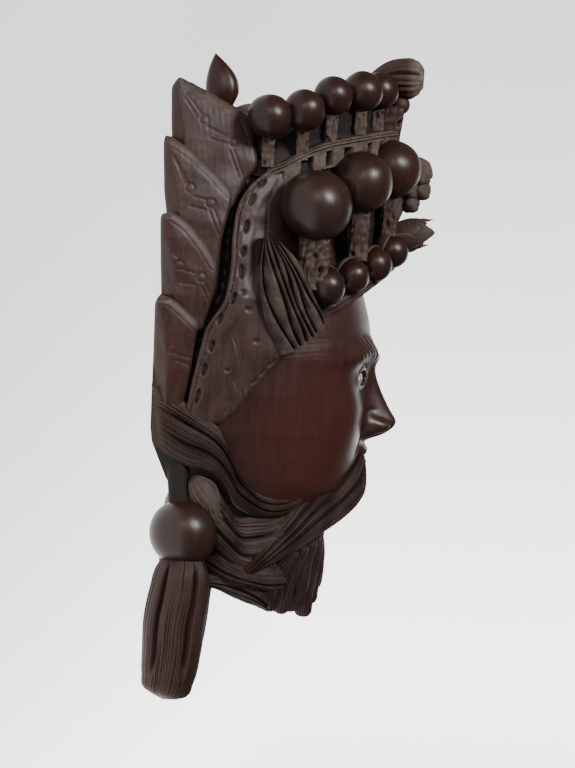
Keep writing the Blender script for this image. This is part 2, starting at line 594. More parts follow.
def side_of_block(up, out):
    """Half width of the head block at a height and a distance out of the back."""
    half_width, front, back = read(HALF_WIDTH, up), read(FRONT, up), read(BACK, up)
    share = np.clip((out - back - 4) / (front - back - 4), 0, 1)
    return half_width * (1 - share ** SQUARENESS) ** (1 / SQUARENESS)


def block_angles():
    """Angles from the front that give fine columns over the face and wider ones on the sides."""
    fine = np.linspace(0, math.pi / 2, 4000)
    across, out = 70 * np.sin(fine) ** (2 / SQUARENESS), 98 * np.cos(fine) ** (2 / SQUARENESS)
    length = np.concatenate([[0], np.cumsum(np.hypot(np.diff(across), np.diff(out)))])
    step = np.where(across < 50, 0.68, 1.5)
    number = np.concatenate([[0], np.cumsum(np.diff(length) / step[1:])])
    return np.interp(np.linspace(0, number[-1], round(number[-1])), number, fine)


def carve_head(material):
    ups = np.concatenate([np.arange(88, 102, 1.2), np.arange(102, 172, 0.66), np.arange(172, 268.2, 2.0)])
    half_angles = block_angles()
    angles = np.concatenate([-half_angles[:0:-1], half_angles])
    sine, cosine = np.sin(np.abs(angles)), np.clip(np.cos(angles), 0, 1)
    back_shares = np.linspace(1, -1, 64)
    width, tall, deep = HOLLOW
    rings = []
    for up in ups:
        half_width, front, foot = block_depths(up)
        back = read(BACK, up)
        across = np.sign(angles) * half_width * sine ** (2 / SQUARENESS)
        out = back + 4 + (front - back - 4) * cosine ** (2 / SQUARENESS)
        height = np.full(len(across), up)
        relief = ease(56, 44, np.abs(across)) * ease(176, 166, up) * face_relief(across, height)
        relief = relief + brow_hairs(across, height) + temple_hairs(across, height)
        pocket = ease(1.06, 0.94, eye_shape(across, height, 0.4))
        out = out + relief * ease(0.30, 0.6, cosine) - 5.0 * pocket
        back_across = half_width * back_shares
        inside = 1 - (np.abs(back_across) / width) ** 2.5 - (abs(up - HOLLOW_UP) / tall) ** 2.5
        back_out = foot + deep * np.clip(inside, 0, 1) ** 0.4
        front_side = np.stack([across, height, out], 1)
        back_side = np.stack([back_across, np.full(len(back_shares), up), back_out], 1)
        rings.append(np.concatenate([front_side, back_side]))
    rings = np.array(rings)
    flat = rings.reshape(-1, 3)
    on_back = (np.arange(rings.shape[1]) >= len(angles))[None, :]
    inner = (on_back * (rings[:, :, 2] > block_depths(ups)[2][:, None] + 1)).ravel()
    gouge = np.abs(np.sin(flat[:, 0] * 0.42 + 2 * ripple(flat, 60, 5))) * 0.9 + 0.35 * ripple(flat, 14, 6)
    flat[:, 2] += inner * gouge
    gap = np.where(inner, 99, to_line(flat[:, 1:], CHANNEL)[0])
    flat[:, 0] -= np.sign(flat[:, 0]) * 6.0 * bump(gap, 2.6) * (np.abs(flat[:, 0]) > 40)
    form = Form()
    form.shade = np.clip(1.1 * bump(gap, 3.6) + ease(116, 110, flat[:, 1]) * ease(39, 34, flat[:, 2]), 0, 1)
    dust = inner * 0.75 + 0.10 * ease(158, 175, flat[:, 1]) * (flat[:, 2] > 60)
    form.add_rings(flat.reshape(rings.shape), dust)
    turn_out(form)
    return make_piece("carved_head", form, material)


def carve_crown(material):
    foot, top, half_width, middle_out, reach = CROWN
    share = np.sin(np.linspace(0, math.pi / 2 - 0.02, 40))[:, None]
    turn = np.linspace(0, 2 * math.pi, 120, endpoint=False)[None, :]
    shrink = np.sqrt(1 - share ** 2)
    rings = np.stack([half_width * shrink * np.cos(turn), foot + (top - foot) * share + 0 * turn,
                      middle_out + reach * shrink * np.sin(turn)], 2)
    flat = rings.reshape(-1, 3)
    flat[:, 1] += 0.35 * ripple(flat, 9, 3)
    form = Form()
    form.add_rings(flat.reshape(rings.shape), 0.0)
    form.shade = 0.15 + 0.8 * ease(45, 75, flat[:, 2])
    turn_out(form)
    return make_piece("helmet_crown", form, material)


# Flat plates of the helmet: leaves and side flaps


def plate(outline, step):
    """Triangles that fill an outline of (up, out): points, faces, distances to the edge, and the edge."""
    closed = np.array(list(outline) + [outline[0]], float)
    lengths = np.linalg.norm(np.diff(closed, axis=0), axis=1)
    edge = np.concatenate([np.linspace(a, b, max(2, round(length / step)), endpoint=False)
                           for a, b, length in zip(closed[:-1], closed[1:], lengths)])
    for _ in range(OUTLINE_ROUNDING):
        edge = (np.roll(edge, 1, 0) + 2 * edge + np.roll(edge, -1, 0)) / 4
    spots = (np.arange(low, high, step) for low, high in zip(edge.min(0), edge.max(0)))
    rows, columns = np.meshgrid(*spots, indexing="ij")
    inner = np.stack([rows.ravel(), columns.ravel()], 1)
    inner[:, 1] += (np.round(inner[:, 0] / step) % 2) * step / 2
    ring = np.vstack([edge, edge[:1]])
    crossings = np.zeros(len(inner), bool)
    for a, b in zip(ring[:-1], ring[1:]):
        spans = (a[0] > inner[:, 0]) != (b[0] > inner[:, 0])
        reach = a[1] + (inner[:, 0] - a[0]) * (b[1] - a[1]) / (b[0] - a[0] + 1e-12)
        crossings ^= spans & (inner[:, 1] < reach)
    inner = inner[crossings]
    inner = inner[to_line(inner, ring)[0] > 0.45 * step]
    flat = np.vstack([edge, inner])
    borders = [(i, (i + 1) % len(edge)) for i in range(len(edge))]
    made = delaunay_2d_cdt([Vector(p) for p in flat], borders, [], 1, 1e-6)
    points = np.array([tuple(p) for p in made[0]])
    return points, [list(face) for face in made[2]], to_line(points, ring)[0], edge


def thick_plate(form, flat, faces, edge, heights, thickness, side, dust):
    """Adds a plate whose face stands at the heights across, with a wall round it that goes inwards."""
    top = np.stack([side * heights, flat[:, 0], flat[:, 1]], 1)
    faces = [face if side > 0 else face[::-1] for face in faces]
    form.add(top, faces, dust)
    nearest = [int(np.argmin(((flat - p) ** 2).sum(1))) for p in edge]
    rim = top[nearest]
    rows = [rim]
    for share in (0.12, 0.4, 1.0):
        lower = rim.copy()
        lower[:, 0] -= side * thickness * share
        rows.append(lower)
    wall = ring_faces(len(rows), len(rim))
    form.add(np.concatenate(rows), [face if side > 0 else face[::-1] for face in wall], 0.15)


def groove(points, line, width, depth):
    gap = to_line(points, line)[0]
    return -depth * np.exp(-(gap / width) ** 2)


def carve_leaves(side, material):
    form = Form()
    for number, outline in enumerate(LEAVES):
        flat, faces, inset, edge = plate(outline, 0.62)
        ups, outs = flat[:, 0], flat[:, 1]
        low, high = min(p[0] for p in outline), max(p[0] for p in outline)
        lift = LEAF_LIFT * np.clip((ups - low) / (high - low), 0, 1) ** 1.2
        heights = read(WING_HALF_WIDTH, ups) + lift - WING_SLOPE * outs
        back_line = sorted(p for p in outline if p[1] < 12 and p[0] > low + 2)
        from_back = outs - np.interp(ups, *zip(*back_line))
        ridge = 1.2 + LEAF_RIDGE * np.clip((outline[0][0] - ups) / 26, 0, 1)
        rim = np.clip((ridge - from_back) / ridge, 0, 1)
        heights = heights - 1.15 * ridge * rim - 0.7 * bump(inset, 0.6)
        gap = to_line(flat, outline[:LEAF_FRONT[number]])[0]
        heights = heights + 1.3 * (1 - np.exp(-inset / 5.0))
        heights = heights - 0.22 * np.clip(3.6 - gap, 0, None) - 0.28 * bump(gap - 3.9, 0.35)
        for ring in LEAF_RINGS[number]:
            away = np.linalg.norm(flat - np.array(ring), axis=1)
            heights = heights - 0.38 * bump(away - 2.0, 0.40)
        for line in LEAF_LINES[number]:
            heights = heights + groove(flat, line, 0.40, 0.34)
        spots = np.stack([heights, ups, outs], 1)
        heights = heights + 0.20 * ripple(spots, 16, 20 + number)
        heights = heights + 0.03 * ripple(spots * (1, 0.3, 1), 2.2, 30)
        dust = 0.06 + 0.22 * ease(3.6, 2.6, gap)
        thick_plate(form, flat, faces, edge, heights, LEAF_THICKNESS, side, dust)
    return make_piece("wing_leaves_" + SIDE_NAMES[side], form, material, sharp=60)


def carve_flap(side, material):
    form = Form()
    flat, faces, inset, edge = plate(FLAP, 0.68)
    ups, outs = flat[:, 0], flat[:, 1]
    heights = side_of_block(ups, outs) + FLAP_RISE
    gap = to_line(flat, BAND)[0]
    heights = heights - 1.0 * bump(gap - 2.0, 0.5) - 0.35 * bump(gap - 3.4, 0.4) - 0.8 * bump(inset, 0.7)
    heights = heights + 0.7 * ease(BAND_WIDTH + 2.0, BAND_WIDTH - 1.5, gap)
    for stitch in STITCHES:
        away, along = to_line(flat, stitch)
        length = math.dist(*stitch)
        width = 0.30 + 0.75 * np.sqrt(np.clip(1 - (2 * along / length - 1) ** 2, 0, 1))
        heights = heights - 1.7 * np.exp(-(away / width) ** 2)
    for fold in FLAP_FOLDS:
        heights = heights + groove(flat, fold, 0.45, 0.55) + groove(flat, fold, 3.5, 0.4)
    for dimple in FLAP_DIMPLES:
        away = np.hypot((ups - dimple[0]) * 1.7, outs - dimple[1])
        heights = heights - 1.0 * bump(away, 1.3)
    for nick in FLAP_NICKS:
        heights = heights + groove(flat, nick, 0.45, 0.8)
    heights = heights + 1.4 * np.exp(-((ups - 172) / 22) ** 2 - ((outs - 52) / 13) ** 2)
    spots = np.stack([heights, ups, outs], 1)
    heights = heights + 0.28 * ripple(spots, 18, 41) + 0.03 * ripple(spots * (1, 0.3, 1), 2.2, 42)
    dust = 0.06 + 0.12 * ease(212, 240, ups) + 0.15 * bump(gap - 2.0, 0.8)
    thick_plate(form, flat, faces, edge, heights, FLAP_THICKNESS, side, dust)
    return make_piece("helmet_flap_" + SIDE_NAMES[side], form, material, sharp=60)


# Tiara, posts and beads


def tiara_edges(angle):
    share = np.abs(np.sin(angle))
    return 199 - 33 * share ** 2, 264.5 - 10 * share ** 2.2 - 12 * share ** 16


def tiara_place(angle, inset):
    return (TIARA_HALF_WIDTH - inset) * np.sin(angle), TIARA_OUT + (TIARA_REACH - inset) * np.cos(angle)


def carve_tiara(material):
    """Profile of shelf, recessed wall, pierced band and back wall, swept round the front of the helmet."""
    angles = np.radians(np.linspace(-84, 84, 260))
    low, high = tiara_edges(angles)
    corners = (
        (24, 0, 2), (3, 0, 0), (0.6, 0, 0.6), (0, 0, 2.2), (0.9, 0, 3.0), (0.3, 0, 4.0),
        (0.6, 0, SHELF_THICKNESS - 0.6), (1.6, 0, SHELF_THICKNESS), (SHELF_WIDTH, 0, SHELF_THICKNESS + 1),
        (SHELF_WIDTH, 1, -RIM_DROP - 8.5), (6.5, 1, -RIM_DROP - 7.0), (6.0, 1, -RIM_DROP - 5.5),
        (6.0, 1, -3.0), (6.7, 1, -2.5), (5.2, 1, -1.9), (5.2, 1, -1.3), (6.0, 1, -1.0), (5.3, 1, -0.6),
        (6.6, 1, 0), (13, 1, 0.4), (13, 1, BACK_WALL_RISE - 1), (14, 1, BACK_WALL_RISE),
        (24, 1, BACK_WALL_RISE),
    )
    profile = []
    for (a, b) in zip(corners[:-1], corners[1:]):
        steps = 26 if a[1] != b[1] else max(1, round(math.hypot(a[0] - b[0], a[2] - b[2]) / 0.9))
        profile += [[a[i] + (b[i] - a[i]) * step / steps for i in range(3)] for step in range(steps)]
    profile.append(list(corners[-1]))
    profile = np.array(profile)
    bulge = 3.0 * np.exp(-(angles / 0.5) ** 2)
    rings = []
    for inset, level, rise in profile:
        shallow = 6.5 * np.exp(-(angles / 0.5) ** 2) * (inset == SHELF_WIDTH)
        across, out = tiara_place(angles, inset - shallow - bulge * level * (inset < 7))
        rings.append(np.stack([across, low + (high - low) * level + rise, out], 1))
    rings = np.array(rings).transpose(1, 0, 2)
    along = np.cumsum(np.concatenate([[0], np.hypot(*np.diff(np.array(tiara_place(angles, 6)), axis=1))]))
    along = (along - along[-1] / 2)[:, None] + 0 * profile[None, :, 0]
    top_gap = rings[:, :, 1] - high[:, None]
    on_band = (profile[:, 1] == 1)[None, :] * (profile[:, 0] < 6.8)[None, :] * np.ones_like(along)
    pace = along + 1.6 * np.sin(along * 0.23)
    holes = ease(0.35, 0.62, np.sin(pace * 2 * math.pi / HOLE_SPACING + 0.4))
    holes = holes * ease(-11.6, -10.6, top_gap) * ease(-4.0, -5.0, top_gap)
    chips = np.abs(np.sin(along * 1.3 + 1.8 * np.sin(top_gap * 0.9))) ** 3
    inward = (4.0 * holes + 0.55 * chips * ease(-3.2, -4, top_gap)) * on_band
    wall = (profile[:, 0] >= 6.8)[None, :] * (np.abs(profile[:, 2]) > 0.45)[None, :] * np.ones_like(along)
    inward = inward + wall * 0.5 * np.abs(np.sin(along * 0.9 + 0.6 * np.sin(rings[:, :, 1] * 0.15)))
    way = rings - np.array([0, 0, TIARA_OUT])
    way[:, :, 1] = 0
    rings = rings - unit(way) * inward[:, :, None]
    flat = rings.reshape(-1, 3)
    flat[:, 2] += 0.22 * ripple(flat, 5, 51)
    dust = 0.12 + 0.50 * on_band * (1 - holes) - 0.5 * wall
    dust = dust + 0.15 * ripple(flat, 14, 52).reshape(along.shape)
    form = Form()
    form.add_rings(flat.reshape(rings.shape), np.clip(dust, 0, 1).ravel())
    form.shade = np.clip(wall + holes * on_band, 0, 1).ravel()
    turn_out(form)
    return make_piece("tiara", form, material)


def ball_rings(rows, around):
    """Rings of a ball of radius 1 from its top to its foot, with their angles."""
    polar = np.linspace(0.02, math.pi - 0.02, rows)[:, None]
    turn = np.linspace(0, 2 * math.pi, around, endpoint=False)[None, :]
    away = np.sin(polar)
    return np.stack([away * np.cos(turn), np.cos(polar) + 0 * turn, away * np.sin(turn)], 2), polar, turn


def bead_form(form, beads, side):
    for number, (across, up, out, radius) in enumerate(beads):
        ring = ball_rings(26, 40)[0]
        flat = ring.reshape(-1, 3)
        uneven = 1 + 0.012 * ripple(flat * radius, radius * 1.6, 60 + number)
        flat = flat * uneven[:, None] * radius + np.array([side * across, up, out])
        form.add_rings(flat.reshape(ring.shape)[::-1], 0.02)


def rough_post(form, foot, head, width, depth, seed, dust):
    """Square post cut with a chisel, a little uneven, pitted and drilled."""
    rows, per_side = 56, 14
    corners = np.array(((-1, -1), (1, -1), (1, 1), (-1, 1)), float)
    square = []
    for corner, after in zip(corners, np.roll(corners, -1, 0)):
        square += [corner + (after - corner) * step / per_side for step in range(per_side)]
    square = np.array(square) * 0.5
    square /= (1 + 0.12 * (np.abs(square[:, 0]) * np.abs(square[:, 1]) * 4) ** 4)[:, None]
    centre = np.linspace(foot, head, rows)
    section = np.stack([square[:, 0] * width, 0 * square[:, 0], square[:, 1] * depth], 1)
    rings = centre[:, None, :] + section[None]
    flat = rings.reshape(-1, 3)
    spread = flat - np.repeat(centre, len(square), 0)
    amount = 0.05 * ripple(flat, 4.5, seed) + 0.03 * ripple(flat * (1, 0.25, 1), 1.6, seed + 1)
    random = np.random.default_rng(seed)
    holes = np.zeros(len(flat))
    for spot in flat[random.integers(0, len(flat), round(width))]:
        holes = np.maximum(holes, np.exp(-(np.linalg.norm((flat - spot) * (1, 0.7, 1), axis=1) / 1.0) ** 4))
    pits = ease(1.5, 2.1, ripple(flat, 3.0, seed + 2)) * 0.2
    flat = flat + spread * (amount - pits - 0.25 * holes)[:, None]
    low = ease(0.35, 0.05, np.repeat(np.linspace(0, 1, rows), len(square)))
    shown = dust * (0.8 + 0.25 * ripple(flat, 6, seed + 3)) + 0.25 * low - 2 * pits - holes
    form.add_rings(flat.reshape(rings.shape), np.clip(shown, 0, 1))


def carve_beads(side, material, rough):
    beads, posts = Form(), Form()
    bead_form(beads, TOP_BEADS, side)
    bead_form(beads, BIG_BEADS, side)
    bead_form(beads, LOW_BEADS, side)
    for number, (across, up, out, radius) in enumerate(TOP_BEADS):
        inward = (8, 4, 0, 0, 0)[number]
        foot = (side * (across - inward), up - radius - 13, out)
        head = (side * (across - inward / 2), up - 0.7 * radius, out)
        rough_post(posts, foot, head, 5.0, 5.6, 100 + 7 * number, 0.50)
    for number, (across, up, out, radius) in enumerate(BIG_BEADS):
        foot = (side * across * 0.93, up - radius - 22, out * 0.99 + 1)
        head = (side * across * 0.97, up - 0.6 * radius, out)
        width = (14, 8.5, 7)[number]
        rough_post(posts, foot, head, width, width, 200 + 7 * number, 0.22)
    for number, (across, up, out, radius) in enumerate(LOW_BEADS):
        foot = (side * across * 0.93, up - radius - 2, out - 4)
        rough_post(posts, foot, (side * across, up, out - 2), 5, 5, 300 + 7 * number, 0.1)
        hood(posts, (side * across, up, out), radius)
    turn_out(beads)
    turn_out(posts)
    return [make_piece("beads_" + SIDE_NAMES[side], beads, material),
            make_piece("bead_posts_" + SIDE_NAMES[side], posts, rough)]


def hood(form, middle, radius):
    """Lip of wood over the top of a low bead, like an eyelid."""
    middle = np.array(middle, float)
    back = unit(np.array([-middle[0] * 0.9, 18.0, -(middle[2] - TIARA_OUT) * 0.9]))
    polar = np.linspace(0.05, 1.22, 16)
    lip = ((1.1, 1.27), (0.7, 1.30), (0.3, 1.27), (-0.4, 1.20), (-0.8, 1.0), (-0.8, 0.05))
    profile = [(radius + 1.2, p) for p in polar] + [(radius + rise, p) for rise, p in lip]
    turn = np.linspace(0, 2 * math.pi, 48, endpoint=False)
    first = unit(np.cross(back, (0, 0, 1.0)))
    second = np.cross(back, first)
    circle = np.cos(turn)[:, None] * first + np.sin(turn)[:, None] * second
    rings = np.array([middle + r * (math.cos(p) * back + math.sin(p) * circle) for r, p in profile])
    form.add_rings(rings, 0.15)


# Hair and beard


def sheet_rings(upper, lower, bulge, grooves, seed, along=SHEET_STEPS, depth=1.0, under=4.0, blunt=False,
                lobes=1, fat=0):
    """Closed lens between two guides. Its outer face bulges and carries uneven cuts along the guides,
    deeper ones between its lobes, and fat ribs where a number of them is given."""
    upper, lower = smooth(upper, along), smooth(lower, along)
    random = np.random.default_rng(seed)
    columns = max(grooves * 7, 84)
    across = np.linspace(0, 1, columns)[None, :]
    ahead = unit(np.gradient((upper + lower) / 2, axis=0))
    outward = unit(np.cross(ahead, lower - upper))
    middle = (upper + lower) / 2 - np.array([0, 0, HEAD_AXIS_OUT])
    middle[:, 1] = 0
    outward *= np.sign((outward * middle).sum(1))[:, None]
    share = np.linspace(0, 1, along)[:, None]
    ends = rounded_end(share, 0.10)
    if not blunt:
        ends = ends * rounded_end(1 - share, 0.14)

    def wave(size, pace):
        return size * np.sin(pace * share + random.uniform(0, 6.3))

    cuts = np.zeros((along, columns))
    for index in range(grooves + 1):
        place = (index + random.uniform(-0.28, 0.28)) / grooves
        sway = (wave(0.30, 4.5) + wave(0.16, 11)) / grooves
        strength = random.uniform(0.30, 0.85) * (0.75 + wave(0.25, 5))
        cuts -= strength * np.exp(-((across - place - sway) * grooves / STRAND_CUT) ** 2)
    for index in range(1, lobes):
        place = index / lobes + random.uniform(-0.03, 0.03) + wave(0.05, 3) * share
        cuts -= 1.8 * ease(0.0, 0.2, share) * np.exp(-np.abs((across - place) / 0.035) ** 1.3)
    if fat:
        uneven = 0.30 * np.sin(3 * share + 9 * across) + 0.16 * np.sin(7 * share - 17 * across)
        ribs = np.abs(np.sin(math.pi * (fat * across + uneven))) ** 0.8
        cuts = 0.12 * cuts - (1 - ribs)
    waves = 0.35 * np.sin(9.0 * across + 4 * share + seed) + 0.25 * np.sin(17 * across - 6 * share)
    crest = np.sin(math.pi * across) ** 0.62
    rise = ends * crest * bulge * (1 + 0.12 * waves) + depth * cuts * ends

    def between(shares):
        return upper[:, None, :] * (1 - shares)[None, :, None] + lower[:, None, :] * shares[None, :, None]

    top = between(across[0]) + outward[:, None, :] * rise[:, :, None]
    below_share = np.linspace(1, 0, 8)[1:-1]
    drop = under * np.sin(math.pi * below_share)[None, :] * ends ** 0.5
    below = between(below_share) - outward[:, None, :] * drop[:, :, None]
    shade = np.concatenate([np.clip(-0.75 * cuts * ends, 0, 0.9), 0 * drop], 1)
    return np.concatenate([top, below], 1), shade.ravel()


def mirrored(points, side):
    return [(side * p[0],) + tuple(p[1:]) for p in points]


def carve_hair(side, material):
    made = []
    for number, (name, (upper, lower, bulge, grooves, dusty, lobes)) in enumerate(HAIR_SHEETS.items()):
        form = Form()
        guides = mirrored(upper, side), mirrored(lower, side)
        rings, shade = sheet_rings(*guides, bulge, grooves, 400 + number, lobes=lobes)
        start = ease(0.275, 0, np.linspace(0, 1, len(rings)))[:, None] * (0.45 if name == "curl" else 0.0)
        if name == "nape":
            start = start + 0.45 * np.exp(-np.arange(rings.shape[1]) / 16)[None, :]
        mottle = ripple(rings.reshape(-1, 3), 18, 80 + number).reshape(rings.shape[:2])
        dust = start + dusty + 0.30 * dusty ** 0.5 * mottle
        form.add_rings(rings, np.clip(dust, 0, 1).ravel())
        if name == "curl":
            form.add_rings(lock_rings(mirrored(KNOT, side), 19, 430, depth=0.24), 0.5)
        form.shade = np.concatenate([shade, np.zeros(form.count - len(shade))])
        turn_out(form)
        made.append(make_piece(f"{name}_hair_{SIDE_NAMES[side]}", form, material))
    return made


def lock_rings(points, grooves, seed, depth=0.17):
    path = smooth(points, LOCK_STEPS)
    sway = np.random.default_rng(seed).uniform(0, 6.3, 2)
    share = np.linspace(0, 1, LOCK_STEPS)
    path[:, 2] += 0.9 * np.sin(8 * share + sway[0]) * share
    path[:, 3] *= 1 + 0.16 * np.sin(13 * share + sway[1])
    cuts = strand_grooves(grooves, seed, depth)
    return tube_rings(path[:, :3], LOCK_POINTS, path[:, 3:], cuts, (0.06, 0.10))


def carve_chin_tuft(material):
    form = Form()
    for side in SIDES:
        for number, lock in enumerate(CHIN_LOCKS):
            form.add_rings(lock_rings(mirrored(lock, side), 21, 500 + number), 0.10)
    form.add_rings(lock_rings(MIDDLE_LOCK, 21, 520), 0.10)
    locks = form.count
    for middle, radii in CHIN_CORES:
        rings, polar, turn = ball_rings(28, 108)
        cuts = 0.006 * np.sin(turn * 36 + 2 * np.sin(polar * 3)) * np.sin(polar)
        rings = rings * np.array(radii) * (1 + cuts[:, :, None]) + np.array(middle)
        form.add_rings(rings[::-1], 0.0)
    form.shade = np.where(np.arange(form.count) < locks, 0.0, 0.9)
    turn_out(form)
    return make_piece("chin_tuft", form, material)


def carve_temple_tuft(side, material):
    form = Form()
    left, right = (mirrored(guide, side) for guide in TUFT_GUIDES)
    rings, shade = sheet_rings(left, right, 7.5, 22, 610, along=56, depth=3.4, under=5, blunt=True, fat=7)
    spots = rings.reshape(-1, 3)
    form.add_rings(rings, np.clip(0.48 + 0.2 * ripple(spots, 10, 611) - 0.6 * shade, 0, 1))
    form.shade = shade
    turn_out(form)
    return make_piece("temple_tuft_" + SIDE_NAMES[side], form, material)


# Pendants, plume, bud and blossom


def carve_pendant(side, material, smooth_wood):
    form, ball = Form(), Form()
    depth = LEFT_TASSEL_DEPTH if side > 0 else 1.0
    bead_form(ball, (PENDANT_BALL,), side)
    stem = smooth([(side * 64, 116, 17.5, 5.4), (side * 65, 106, 18.4, 5.2), (side * 66.5, 97, 19.2, 4.8),
                   (side * 67.5, 88, 20.5, 5.0)], 30)
    form.add_rings(tube_rings(stem[:, :3], 40, stem[:, [3, 3]]), 0.1)
    bare = form.count
    path = smooth([(side * a, u, o - (1 - depth) * r, r, r * depth) for a, u, o, r in TASSEL], TASSEL_STEPS)
    ribs = strand_grooves(56, 700, depth=0.05, sway=0.06)
    wide_cuts = (math.pi / 2 + 0.02 * side - 0.60, math.pi / 2 + 0.02 * side + 0.60)

    def relief(share, angle):
        total = ribs(share, angle)
        reach = ease(0.04, 0.16, share) * ease(0.86, 0.70, share)
        for place in wide_cuts:
            gap = np.angle(np.exp(1j * (angle - place)))
            total = total - 0.24 * np.exp(-(gap / (0.06 + 0.05 * np.sin(math.pi * share))) ** 2) * reach
        return total

    form.add_rings(tube_rings(path[:, :3], 400, path[:, 3:], relief, (0.0, 0.05)), 0.05)
    form.shade = np.where(np.arange(form.count) < bare, 0.85, 0.0)
    turn_out(form)
    turn_out(ball)
    return [make_piece("ear_pendant_" + SIDE_NAMES[side], form, material),
            make_piece("pendant_ball_" + SIDE_NAMES[side], ball, smooth_wood)]


def carve_plume(material):
    form = Form()
    path = smooth(PLUME, PLUME_STEPS)
    share = np.linspace(0, 1, PLUME_STEPS)[:, None]
    ribs, fade = strand_grooves(15, 720, depth=0.27, sway=0.2), ease(1.0, 0.93, share)

    def relief(along, angle):
        return ribs(along, angle) * fade

    rings = tube_rings(path[:, :3], 150, path[:, 3:], relief, (0, 0.15), aside=(1, 0, 0))
    crinkle = ease(0.80, 0.97, share)
    uneven = ripple(rings.reshape(-1, 3), 3.0, 721).reshape(rings.shape[:2])
    rings = rings + (crinkle * 0.34 * uneven)[:, :, None] * np.array((0, 0.4, 0.9))
    form.add_rings(rings, (0.08 + 0.85 * crinkle + 0 * uneven).ravel())
    rough_post(form, (0, 252, 105.2), (0, 276, 107.4), 9, 10.5, 730, 0.1)
    bead_form(form, (CENTRE_BEAD,), 1)
    turn_out(form)
    return make_piece("plume", form, material)


def carve_finial(material):
    path = smooth(FINIAL, 60)
    angle = np.linspace(0, 2 * math.pi, 48, endpoint=False)

    def ridge(place, width):
        return bump(np.angle(np.exp(1j * (angle - place))), width)

    keel = 1 + 0.10 * ridge(2.4, 0.35) + 0.06 * ridge(-1.2, 0.4)
    rings = path[:, None, :3] + np.stack([path[:, 3:4] * np.cos(angle) * keel, 0 * path[:, 3:4] * angle,
                                          path[:, 4:5] * np.sin(angle) * keel], 2)
    form = Form()
    form.add_rings(rings, 0.03)
    turn_out(form)
    return make_piece("bud_finial", form, material)


def petal(form, turn, length, radius, spread, flare, seed):
    """Thick pointed petal of a tulip, turned round its axis. Its spread is half its width in radians."""
    share = np.linspace(0, 1, 30)[:, None]
    wide = np.linspace(-1, 1, 20)[None, :]
    narrow = np.clip((1 - share) / 0.36, 0.0, 1) ** 0.62 * (0.75 + 0.25 * np.sin(math.pi * share)) + 0.02
    angle = turn + spread * narrow * wide
    away = radius * (0.42 + 0.58 * np.sin(np.clip(share * 1.5, 0, 1) * math.pi / 2)) + flare * share ** 2
    away = away + 0.25 * np.sin(wide * 9) * (1 - share) - 1.4 * ease(0.75, 1.0, share)
    thin = (1 - 0.30 * share) * np.clip((1 - share) / 0.3, 0.02, 1) ** 0.7
    thick = (1.5 + 1.9 * (1 - np.abs(wide) ** 3)) * thin
    axis_up, axis_out = 213.5 + 3.5 * share, 104 + length * share

    def surface(far):
        return np.stack([far * np.sin(angle), axis_up + far * np.cos(angle), axis_out + 0 * angle], 2)

    rings = np.concatenate([surface(away), surface(away - thick)[:, ::-1]], 1)
    spots = rings.reshape(-1, 3)
    rings = (spots + 0.08 * ripple(spots, 3, seed)[:, None]).reshape(rings.shape)
    rim = np.abs(np.concatenate([wide, wide[:, ::-1]], 1)) ** 8 + 0 * rings[:, :, 0]
    form.add_rings(rings, np.clip(0.16 + 0.5 * rim, 0, 1).ravel())


def carve_blossom(material):
    form = Form()
    for number, sizes in enumerate(PETALS):
        petal(form, *sizes, 801 + number)
    bead_form(form, ((0, 213, 106, 6.6), (0, 214.5, 113, 5.6), (0, 215.5, 119, 4.4)), 1)
    for centre, radii, dusty in KNOBS:
        blob = Form()
        bead_form(blob, ((0, 0, 0, 1.0),), 1)
        spots = blob.points[0] * np.array(radii)
        spots = spots * (1 + 0.07 * ripple(spots, 8.0, 810))[:, None]
        scroll = bump(np.abs(spots[:, 1] * 0.8 + spots[:, 2] * 0.5 + 1.2) - 2.4, 0.5)
        form.add(np.array(centre) + spots * (1 - 0.07 * scroll)[:, None], blob.faces, dusty)
    stalk = smooth(STALK, 30)
    form.add_rings(tube_rings(stalk[:, :3], 48, stalk[:, 3:], strand_grooves(9, 820, depth=0.10)), 0.35)
    turn_out(form)
    return make_piece("blossom", form, material)


# Eyes


def eye_surface(side, levels):
    """Rings of the almond plug, as the solids have it, from its rim to the top of its dome."""
    angle = np.linspace(0, 2 * math.pi, 72, endpoint=False)
    across = np.cos(angle) * EYE_WIDTH / 2
    up = np.sign(np.sin(angle)) * np.abs(np.sin(angle)) ** 1.35 * EYE_OPENING / 2
    rings = []
    for scale, depth in levels:
        x, y = across * scale, up * scale
        turned_x = x * math.cos(EYE_TURN) + side * depth * math.sin(EYE_TURN)
        turned_z = depth * math.cos(EYE_TURN) - side * x * math.sin(EYE_TURN)
        rings.append(np.stack([side * EYE[0] + turned_x, EYE[1] + y, EYE[2] + turned_z], 1))
    return np.array(rings)


def carve_eye(side, white, pupil):
    levels = [(1.0, -6.0), (1.0, -1.0)]
    levels += [(math.cos(t), 1.6 * math.sin(t)) for t in np.linspace(0.05, math.pi / 2 - 0.03, 26)]
    form = Form()
    form.add_rings(eye_surface(side, levels), 0.0)
    turn_out(form)
    name = "eye_" + SIDE_NAMES[side]
    eye = make_piece(name + "_inlay", form, white, stands_for=name)
    eye.data.materials.append(pupil)
    centre = to_frame([(side * EYE[0], EYE[1] + 0.2, EYE[2])])[0]
    for face in eye.data.polygons:
        middle = face.center
        if math.hypot(middle.x - centre[0], middle.y - centre[1]) < 0.0036:
            face.material_index = 1
    return eye


